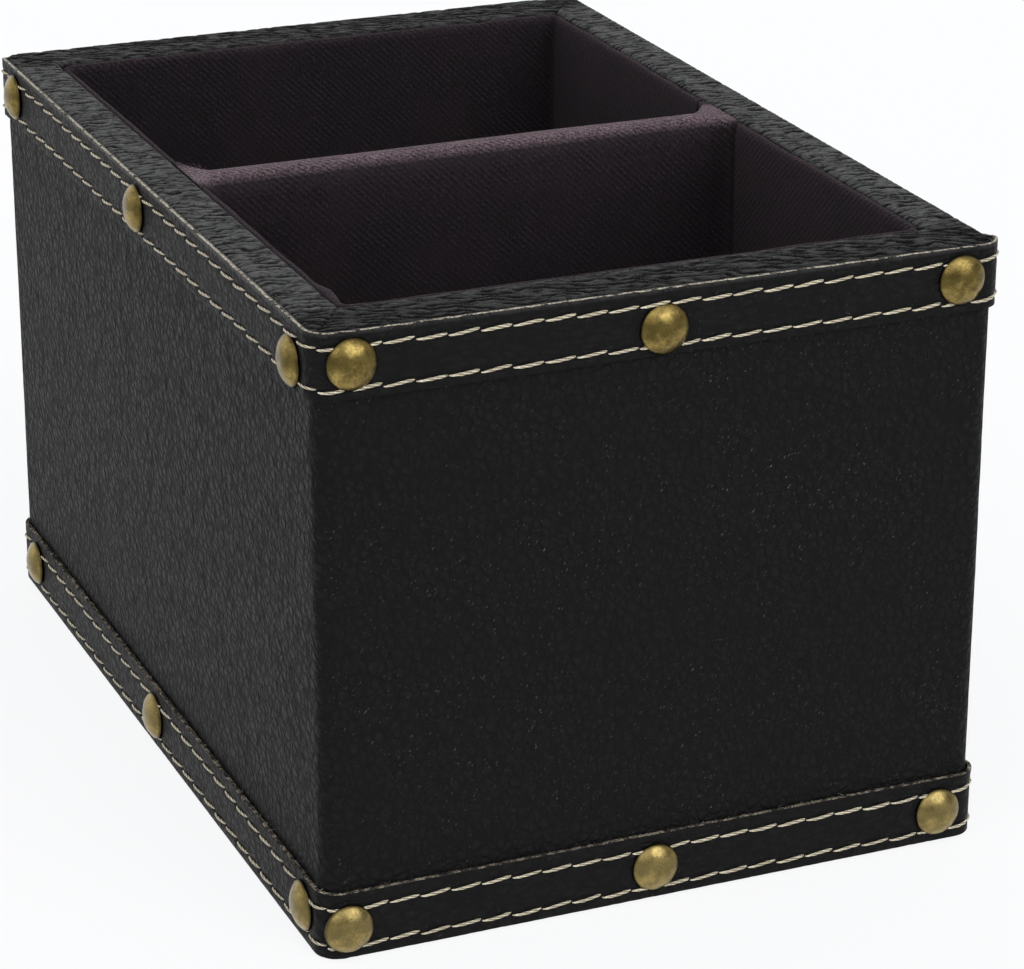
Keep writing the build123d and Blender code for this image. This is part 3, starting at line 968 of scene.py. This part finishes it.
# how far each place on the strip is pressed in
def pressedIn(runs, z, band):
    depth = np.zeros((len(z), len(runs)))
    rows = stitching[band + "Rows"]
    for rowZ in rows:
        across = bell(z - rowZ, bandShape["grooveWidth"])[:, None]
        depth += across * bandShape["grooveDepth"]
    for face, degrees in faceTurns.items():
        onFace = runs[:, 0] == degrees
        s = runs[:, 1]
        pitch = 2 * runHalf(face) / stitchCount(face)
        offHole = (s + runHalf(face) + pitch / 2) % pitch - pitch / 2
        near = bell(offHole, bandShape["holeWidth"]) * onFace
        for rowZ in rows:
            across = bell(z - rowZ, bandShape["holeWidth"])[:, None]
            depth += across * near[None, :] * bandShape["holeDepth"]
        for along, nailZ in nailSpots(face, band):
            away = np.sqrt((s - along)[None, :] ** 2 + (z - nailZ)[:, None] ** 2)
            ring = bell(away - nails["headRadius"], 1.1 * mm) * 0.16 * mm
            under = np.where(away < nails["headRadius"], 0.16 * mm, ring)
            depth = np.where(onFace[None, :] & (away < 9 * mm), np.maximum(depth, under), depth)
    return depth


# a thin fibre with three sides along a line of points, tapering to its end
def fibreTube(points, faces, line, radius):
    start, count = len(points), len(line)
    line = np.asarray(line)
    ahead = unit(np.gradient(line, axis=0))
    side = unit(np.cross(ahead, (0.31, 0.52, 0.79)))
    other = np.cross(ahead, side)
    taper = np.linspace(1, 0.45, count)[:, None] * radius
    for angle in np.radians((0, 120, 240)):
        points.extend((line + (side * math.cos(angle) + other * math.sin(angle)) * taper).tolist())
    faces += gridFaces(3, count, start, wrapRows=True, flip=True)
    faces.append((start, start + 2 * count, start + count))
    faces.append((start + count - 1, start + 2 * count - 1, start + 3 * count - 1))


# the strip's section: places outwards, heights, and kinds (0 face, 1 cut edge, 2 back)
def bandProfile(band, low, high):
    edge = bandShape["edgeRound"]
    faceZ = np.linspace(low + edge, high - edge, round((high - low) / bandShape["rowStep"]))
    lowKind = int(band == "bottom")
    # the cut edge is pale towards the outside; where the strip meets the cover it takes the black leather
    # finish, as painted shade
    inside = 0.38 if band == "top" else 0.15
    profile = [(bandThick, z, 0) for z in faceZ] + [
        (bandThick - edge * 0.3, high - edge * 0.3, 1),
        (bandThick - edge, high, 1),
        (bandThick * 0.55, high, 1),
        (bandThick * inside, high, 0),
        (bandThick * 0.1, high, 0),
        (0.06 * mm, high - 0.05 * mm, 0),
        (0, high - 0.6 * mm, 2),
        (0, (low + high) / 2, 2),
        (0, low + 0.6 * mm, 2),
        (0.06 * mm, low + 0.05 * mm, 1),
        (bandThick * 0.3, low, lowKind),
        (bandThick * 0.55, low, lowKind),
        (bandThick - edge, low, 0),
        (bandThick - edge * 0.3, low + edge * 0.3, 0),
    ]
    return faceZ, *np.array(profile).T


# loose fibres along both cut edges
def addFibres(band, low, high, points, faces):
    chance = random.Random(77 if band == "top" else 78)
    above, below = bandShape["fibresAbove"][band], bandShape["fibresBelow"]
    for level, upward, number in ((high, 1, above), (low, -1, below)):
        for _ in range(number):
            face = chance.choice(("front", "front", "left", "left", "left", "right", "back"))
            s = chance.uniform(-1, 1) * (flatHalf(face) + 3 * mm)
            if band == "top" and upward > 0 and face in ("right", "back"):
                continue
            length = chance.uniform(0.2, 0.6) * mm * (1.8 if chance.random() < 0.07 else 1)
            if band == "bottom" and upward > 0:
                length *= 2.4 if face == "left" else 1.5
            if upward < 0:
                length *= 0.35 if band == "bottom" else 0.8
            leanAlong = chance.uniform(-1, 1)
            leanOut = chance.uniform(-0.6, 0.5)
            root = chance.uniform(-0.55, -0.12) * mm
            t = np.array((0, 0.35, 0.7, 1))
            rise = level + upward * (length * (t - 0.35 * t * t) * 0.6 - 0.12 * mm)
            if band == "top":
                rise = np.minimum(rise, body["top"] - 0.02 * mm)
            line = bandPlace(face, s + leanAlong * length * t, root + leanOut * length * t * t, rise)
            fibreTube(points, faces, line, chance.uniform(0.03, 0.05 if band == "top" else 0.10) * mm)
    if band == "bottom":
        # one stray hair of lint hangs on the upper edge near the front right corner
        t = np.linspace(0, 1, 12)
        hair = bandPlace("front", (58.5 + 4.6 * t) * mm, (0.05 + 0.5 * np.sin(2.6 * t)) * mm,
                         high + (0.2 + 1.5 * t - 1.9 * t * t) * mm)
        fibreTube(points, faces, hair, 0.04 * mm)


def buildBand(band, low, high):
    columns = ringColumns(bandShape["jointAt"], bandShape["jointGap"], bandShape["columnStep"],
                          bandShape["cornerSteps"])
    runs = ringRuns(columns, body["corner"] + bandThick)
    nx, ny = ringNormals(columns)
    faceZ, out, zs, kinds = bandProfile(band, low, high)
    x0, y0 = ringPlaces(columns, body["halfX"], body["halfY"], body["corner"])
    offset = np.repeat(out[:, None], len(columns), axis=1)
    z = np.repeat(zs[:, None], len(columns), axis=1)
    spots = stacked(x0, y0, z)

    # the face of the strip, pressed in and slightly creased along its length
    shown = np.arange(len(faceZ))
    press = pressedIn(runs, faceZ, band)
    wrinkle = ripples(spots[shown], 8, (13, 13, 1.4), 0.06, (4, 4, 1.2), 0.03, step=5)
    offset[shown] -= np.minimum(press + np.abs(wrinkle) * mm, 0.55 * mm)
    # the cut edges wander a little
    for isTop in (True, False):
        weight = np.clip(1 - np.abs(zs - (high if isTop else low)) / (1.2 * mm), 0, 1)[:, None]
        line = spots[:1].copy()
        seed = (11 if isTop else 12) + (3 if band == "top" else 6)
        wander = ripples(line, seed, (9, 9, 1000), 0.16, (1.3, 1.3, 1000), 0.10)
        amount = (0.05 + np.abs(wander)) * (-mm if isTop else mm)
        if not isTop and band == "bottom":
            amount = amount * 0.6
        z += weight * amount
    frayed = ripple(spots, 0.9, 21) * 0.09 * mm
    z = z + np.where((kinds == 1)[:, None], frayed, 0)
    if band == "bottom":
        # the strip's upper edge curls away near the front right corner
        curl = bell(spots[..., 0] - body["halfX"], 9 * mm) * (spots[..., 1] < -90 * mm)
        offset += curl * ramp(zs, high - 3.5 * mm, high)[:, None] ** 2 * 0.25 * mm
    else:
        # on the right side and the back the strip ends a little below the rim
        onRight = ramp(x0, 62 * mm, 64.5 * mm) * ramp(y0, -92 * mm, -86 * mm)
        onBack = ramp(y0, 92 * mm, 94.5 * mm)
        lowered = np.maximum(onRight * 1.3 * mm, onBack * 0.9 * mm)
        z -= lowered[None, :] * ramp(zs, high - 2.4 * mm, high)[:, None]
    points = stacked(x0 + nx * offset, y0 + ny * offset, z)

    faces = stripFaces(*points.shape[:2])
    picks = np.repeat(np.minimum(kinds, 1), len(columns) - 1).astype(int).tolist()
    points = points.reshape(-1, 3).tolist()
    addFibres(band, low, high, points, faces)
    picks += [1] * (len(faces) - len(picks))
    piece = meshPiece(f"{band}_leather_strip", points, faces,
                      [bandLeather, rawEdge if band == "top" else soiledEdge], picks,
                      f"{band}_trim_band")


buildBand("top", topBandLow.z, topBandHigh.z)
buildBand("bottom", bottomBandLow.z, bottomBandHigh.z)
print("trim bands laid")


# cloth inside: wall linings, floor linings and the divider's sleeve
lining = {
    "thick": 1.2 * mm,
    "bend": 4.0 * mm,
    "cornerBend": 1.5 * mm,
    "joint": 0.2 * mm,
    "floor": floorHigh.z,
    "top": liningHigh.z,
    "sleeveHalf": 4.6 * mm,
    "crown": 4.4 * mm,          # bend of the divider's top
    "step": 1.2 * mm,
    "wallRows": 44,
}


# inner line of a compartment's wall cloth: places and normals into the compartment
def liningLine(side):
    faceX = cover["openX"] - lining["thick"]
    faceY = cover["openY"] - lining["thick"]
    start = lining["sleeveHalf"] + lining["bend"] + lining["joint"]
    bend = lining["cornerBend"]
    line = []
    for y in np.arange(start, faceY - bend, lining["step"]):
        line.append((-faceX, y, 1, 0))
    for turn in np.radians(np.linspace(0, 90, 13)):
        line.append((-faceX + bend * (1 - math.cos(turn)), faceY - bend + bend * math.sin(turn),
                     math.cos(turn), -math.sin(turn)))
    for x in np.arange(-faceX + bend + lining["step"], faceX - bend - 0.5 * lining["step"], lining["step"]):
        line.append((x, faceY, 0, -1))
    for turn in np.radians(np.linspace(90, 0, 13)):
        line.append((faceX - bend * (1 - math.cos(turn)), faceY - bend + bend * math.sin(turn),
                     -math.cos(turn), -math.sin(turn)))
    for y in np.arange(faceY - bend - lining["step"], start + 0.4 * lining["step"], -lining["step"]):
        line.append((faceX, y, -1, 0))
    line.append((faceX, start, -1, 0))
    line = np.array(line)
    line[:, 1] *= side
    line[:, 3] *= side
    return line


def clothPiece(node, points, faces, flatPlaces):
    name = "divider_cloth" if node == "divider_sleeve" else node.replace("lining", "cloth")
    return meshPiece(name, points, faces, [plumTwill], None, node, flatPlaces)


def buildWallLining(side, node):
    line = liningLine(side)
    low, high, thick = lining["floor"], lining["top"], lining["thick"]
    profile = [(0.0, z) for z in np.linspace(low, high - 0.7 * mm, lining["wallRows"])]
    profile += [(-0.10 * mm, high - 0.25 * mm), (-0.35 * mm, high - 0.02 * mm), (-0.75 * mm, high),
                (-1.05 * mm, high - 0.12 * mm), (-thick, high - 0.6 * mm)]
    profile += [(-thick, z) for z in (high - 16 * mm, 60 * mm, low)]
    out, z = np.array(profile).T[..., None]
    base = stacked(line[:, 0], line[:, 1], z)
    offset = np.repeat(out, len(line), axis=1)
    seed = 31 if side < 0 else 33
    inner = (np.arange(len(profile)) < lining["wallRows"])[:, None]
    soft = ripples(base, seed, (30, 30, 45), 0.45, (9, 9, 16), 0.14)
    depthFade = np.clip((high - z) / (3 * mm), 0.25, 1)
    offset += np.where(inner, np.clip(0.25 + soft, 0, 0.7) * mm * depthFade, 0)
    z = np.broadcast_to(z, offset.shape).copy()
    nearTop = ramp(z, high - 5 * mm, high)
    z += nearTop * ripples(base, seed + 2, (10, 10, 1000), 0.22, (1.8, 1.8, 1000), 0.08) * mm
    if side < 0:
        # the cloth bunches up above the rim beside the front left corner
        along = line[:, 1] + cover["openY"]
        bunch = bell(along - 7.5 * mm, 4.5 * mm) * (line[:, 0] < -50 * mm)
        z += nearTop * bunch[None, :] * 0.55 * mm
        offset += nearTop ** 1.5 * bunch[None, :] * 0.6 * mm * (offset > -0.9 * mm)
    points = stacked(base[..., 0] + line[:, 2] * offset, base[..., 1] + line[:, 3] * offset, z)
    faces = stripFaces(*points.shape[:2])
    if side > 0:
        faces = [face[::-1] for face in faces]
    points = points.reshape(-1, 3).tolist()
    # the cloth's own flat places: the run along the walls, and the height
    runs = runLengths(line[:, :2])
    flatPlaces = (stacked(runs, z[:, :1] - out) / mm).reshape(-1, 2).tolist()
    # frayed ends of yarn along the top edge
    chance = random.Random(41 + side)
    for _ in range(420):
        spot = line[chance.randrange(len(line))]
        back = chance.uniform(0.2, 1.1) * mm
        length = chance.uniform(0.2, 0.6) * mm
        drift = Vector((chance.uniform(-1, 1), chance.uniform(-1, 1), 0)) * length * 0.8
        root = Vector((spot[0] - spot[2] * back, spot[1] - spot[3] * back, high - 0.15 * mm))
        path = [root + drift * t + Vector((0, 0, length * 0.8 * t)) for t in (0, 0.4, 0.75, 1)]
        fibreTube(points, faces, path, 0.045 * mm)
    flatPlaces += [(p[0] / mm + p[1] / mm, p[2] / mm) for p in points[len(flatPlaces):]]
    piece = clothPiece(node, points, faces, flatPlaces)


def buildFloorLining(side, node):
    low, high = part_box(node)
    nx, ny = 60, 44
    gx, gy = np.meshgrid(np.linspace(low.x, high.x, nx), np.linspace(low.y, high.y, ny))
    top = stacked(gx, gy, high.z)
    top[..., 2] -= (0.10 + 0.10 * ripple(top, (18, 18, 1000), 51 + side)) * mm
    under = stacked(gx, gy, low.z)
    points = np.concatenate((top.reshape(-1, 3), under.reshape(-1, 3)))
    faces = gridFaces(ny, nx) + gridFaces(ny, nx, nx * ny, flip=True)
    grid = np.arange(nx * ny).reshape(ny, nx)
    edge = np.concatenate((grid[0], grid[1:, -1], grid[-1, -2::-1], grid[-2:0:-1, 0])).tolist()
    for a, b in zip(edge, edge[1:] + edge[:1]):
        faces.append((a, a + nx * ny, b + nx * ny, b))
    piece = clothPiece(node, points, faces, points[:, :2] / mm)


# one way over the divider, as places across it and heights
def sleeveProfile(half, top, radius, sides, bends, across):
    floor = lining["floor"]
    rows = [(-half, z) for z in np.linspace(floor, top - radius, sides)]
    for turn in np.radians(np.linspace(0, 90, bends + 1))[1:]:
        rows.append((-half + radius * (1 - math.cos(turn)), top - radius * (1 - math.sin(turn))))
    for t in np.linspace(0, 1, across + 2)[1:-1]:
        rows.append(((-half + radius) * (1 - t) + (half - radius) * t, top))
    for turn in np.radians(np.linspace(90, 0, bends + 1)):
        rows.append((half - radius * (1 - math.cos(turn)), top - radius * (1 - math.sin(turn))))
    rows += [(half, z) for z in np.linspace(top - radius, floor, sides)[1:]]
    return rows


def buildSleeve():
    reachX, bend, crown = cover["openX"], lining["bend"], lining["crown"]
    flareX = reachX - lining["thick"] - bend
    flare = flareX + np.linspace(0, bend, 11)[1:]
    stations = sorted((-reachX, *-flare, *np.linspace(-flareX, flareX, 86), *flare, reachX))
    inner = sleeveProfile(boardHigh.y, boardHigh.z, boardHigh.y - 0.02 * mm, 3, 5, 1)[::-1]
    columns = []
    for x in stations:
        over = min(max(abs(x) - flareX, 0), bend)
        half = lining["sleeveHalf"] + bend - math.sqrt(max(bend ** 2 - over ** 2, 0))
        lift = sleeveHigh.z - 0.12 * mm + (over / bend) * 0.1 * mm
        crownBend = min(crown * (1 - over / bend) + 0.8 * mm * over / bend, half - 0.1 * mm)
        outer = sleeveProfile(half, lift, crownBend, 40, 9, 2)
        columns.append([(x, y, z) for y, z in outer + inner])
    points = np.array(columns).transpose(1, 0, 2)
    shell = points[:len(outer)]
    soft = ripples(shell, 61, (34, 20, 40), 0.45, (10, 10, 16), 0.12)
    middle = np.clip((flareX - np.abs(shell[..., 0])) / (14 * mm), 0, 1)
    shell[..., 1] += np.sign(shell[..., 1]) * np.clip(soft, -0.3, 0.5) * mm * (0.3 + 0.7 * middle)
    onCrown = ramp(shell[..., 2], sleeveHigh.z - 5 * mm, sleeveHigh.z)
    shell[..., 2] += onCrown * (ripple(shell, (28, 1000, 1000), 63) * 0.22 - 0.08) * mm
    flatPlaces = (stacked(points[..., 0], runLengths(points)) / mm).reshape(-1, 2).tolist()
    faces = stripFaces(*points.shape[:2])
    points = points.reshape(-1, 3).tolist()
    # a worn tuft where the sleeve's left end meets the rim
    chance = random.Random(91)
    for _ in range(70):
        root = Vector((-reachX + chance.uniform(0.2, 4.5) * mm, chance.uniform(2.5, 6.0) * mm,
                       sleeveHigh.z - chance.uniform(0.2, 0.9) * mm))
        length = chance.uniform(0.4, 1.1) * mm
        drift = Vector((chance.uniform(-1, 1), chance.uniform(-1, 1), 0)) * length * 0.7
        path = [root + drift * t + Vector((0, 0, length * (t - 0.4 * t * t))) for t in (0, 0.3, 0.65, 1)]
        fibreTube(points, faces, path, 0.06 * mm)
    flatPlaces += [(p[0] / mm, p[2] / mm) for p in points[len(flatPlaces):]]
    piece = clothPiece("divider_sleeve", points, faces, flatPlaces)


buildWallLining(-1, "front_compartment_lining")
buildWallLining(1, "back_compartment_lining")
buildFloorLining(-1, "front_floor_lining")
buildFloorLining(1, "back_floor_lining")
buildSleeve()
print("cloth fitted")


# the sheet under the base, in rings: out over its underside, up its soft edge and in over its top
felt = {
    "edge": ((0.25, 0.0), (0.05, 0.15), (0.0, 0.5), (0.08, 0.85), (0.3, 1.0)),     # inset and height in mm
    "shares": (0.85, 0.6, 0.3, 0.05),
    "bump": 0.02 * mm,
    "bumpSize": 1 / 90,
}


def buildBaseSheet():
    hx, hy, r = sheetHigh.x, sheetHigh.y, body["corner"]
    outline = []
    for cx, cy, begin in ((1, -1, -90), (1, 1, 0), (-1, 1, 90), (-1, -1, 180)):
        for a in np.radians(np.linspace(begin, begin + 90, 9)):
            outline.append((cx * (hx - r) + r * math.cos(a), cy * (hy - r) + r * math.sin(a)))
    outline = np.array(outline)

    def flatRing(share, level, side):
        ring = outline * share
        bumps = [abs(noise.noise(Vector((x, y, 0)) / felt["bumpSize"])) for x, y in ring.tolist()]
        return stacked(ring[:, 0], ring[:, 1], level + side * felt["bump"] * np.array(bumps))

    rings = [flatRing(share, 0.0, 1) for share in felt["shares"][::-1]]
    for inset, z in felt["edge"]:
        ring = outline * (1 - inset * mm / np.abs(outline).max(axis=0))
        rings.append(stacked(ring[:, 0], ring[:, 1], z * mm))
    rings += [flatRing(share, sheetHigh.z, -1) for share in felt["shares"]]
    count = len(outline)
    last = (len(rings) - 1) * count
    faces = gridFaces(len(rings), count, wrapColumns=True)
    faces += [list(range(count))[::-1], list(range(last, last + count))]
    piece = meshPiece("base_felt", rings, faces, [blackFelt], None, "base_sheet")


buildBaseSheet()
print("base sheet laid")


# floor, light and camera
studio = {
    "floorHalf": 12.0,
    "floorColour": (0.935, 0.935, 0.94),
    "keyStrength": 1.1,
    "keyAngle": 80,
    "keyTurn": (42, 0, -30),
    "roomLevel": 0.52,
    "window": 0.55,             # added high at the back
    "softbox": 3.0,             # added at the front right
    "leftWall": 0.22,
    "floorWhite": 0.87,         # share of plain white in the floor that is seen or mirrored
}
photo = {
    "place": (-0.26108, -0.64446, 0.32442),
    "azimuth": -22.87,
    "elevation": 21.818,
    "roll": 0.093,
    "lens": 131.174,
}


# a pale room, brighter high at the back and high at the front right, dim low behind the camera
def softRoom():
    world = Recipe(bpy.data.worlds.new("softRoom"))
    x, y, z = world.split(world.add("TexCoord").outputs["Generated"])
    back = world.remap(world.timesPlus(z, -0.6, y), 0.1, 0.7)
    front = world.timesPlus(z, 0.47, world.times(x, 0.35))
    front = world.remap(world.timesPlus(y, -0.81, front), 0.90, 0.96)
    dim = world.remap(world.timesPlus(z, -1.0, world.times(y, -1.0)), 0.0, 0.5)
    level = world.timesPlus(back, studio["window"], studio["roomLevel"])
    level = world.times(level, world.timesPlus(dim, -0.85, 1.0))
    level = world.timesPlus(front, studio["softbox"], level)
    left = world.remap(world.timesPlus(z, 0.1, world.times(x, -1.0)), 0.1, 0.7)
    level = world.timesPlus(left, studio["leftWall"], level)
    background = world.nodes["Background"]
    world.link(level, background.inputs["Strength"])
    background.inputs["Color"].default_value = (0.99, 0.995, 1.0, 1)
    return world.data


def buildStudio():
    paper = fibreFinish("palePaper", studio["floorColour"], tuple(c * 0.985 for c in studio["floorColour"]),
                        (3, 3, 3), 0.05)
    half = studio["floorHalf"]
    corners = [(-half, -half, 0), (half, -half, 0), (half, half, 0), (-half, half, 0)]
    mesh = bpy.data.meshes.new("studioFloor")
    mesh.from_pydata(corners, [], [(0, 1, 2, 3)])
    mesh.materials.append(paper.data)
    # seen directly, mirrored or through something, the paper is nearly the white of the photo
    ray = paper.add("LightPath").outputs
    seen = paper.larger(ray["Is Camera Ray"], ray["Is Glossy Ray"])
    seen = paper.larger(seen, ray["Is Transmission Ray"])
    white = paper.add("Emission", {"Strength": 1.0, "Color": (0.985, 0.99, 1.0, 1)})
    mix = paper.add("MixShader", {0: paper.times(seen, studio["floorWhite"]),
                                  1: paper.shader().outputs["BSDF"], 2: white.outputs["Emission"]})
    paper.link(mix.outputs["Shader"], paper.nodes["Material Output"].inputs["Surface"])
    newObject("studio_floor", mesh)
    bpy.context.scene.world = softRoom()
    light = bpy.data.lights.new("keyLight", "SUN")
    light.energy = studio["keyStrength"]
    light.angle = math.radians(studio["keyAngle"])
    newObject("keyLight", light).rotation_euler = [math.radians(a) for a in studio["keyTurn"]]


def buildCamera():
    lens = bpy.data.cameras.new("photoCamera")
    lens.sensor_width = 36
    lens.lens = photo["lens"]
    lens.clip_start = 0.02
    lens.clip_end = 60
    camera = newObject("photoCamera", lens)
    turn = (Matrix.Rotation(math.radians(photo["azimuth"]), 4, "Z")
            @ Matrix.Rotation(math.radians(90 - photo["elevation"]), 4, "X")
            @ Matrix.Rotation(math.radians(photo["roll"]), 4, "Z"))
    camera.matrix_world = Matrix.Translation(photo["place"]) @ turn
    bpy.context.scene.camera = camera


buildStudio()
buildCamera()
bpy.context.scene.view_settings.view_transform = "Standard"
print("studio set")
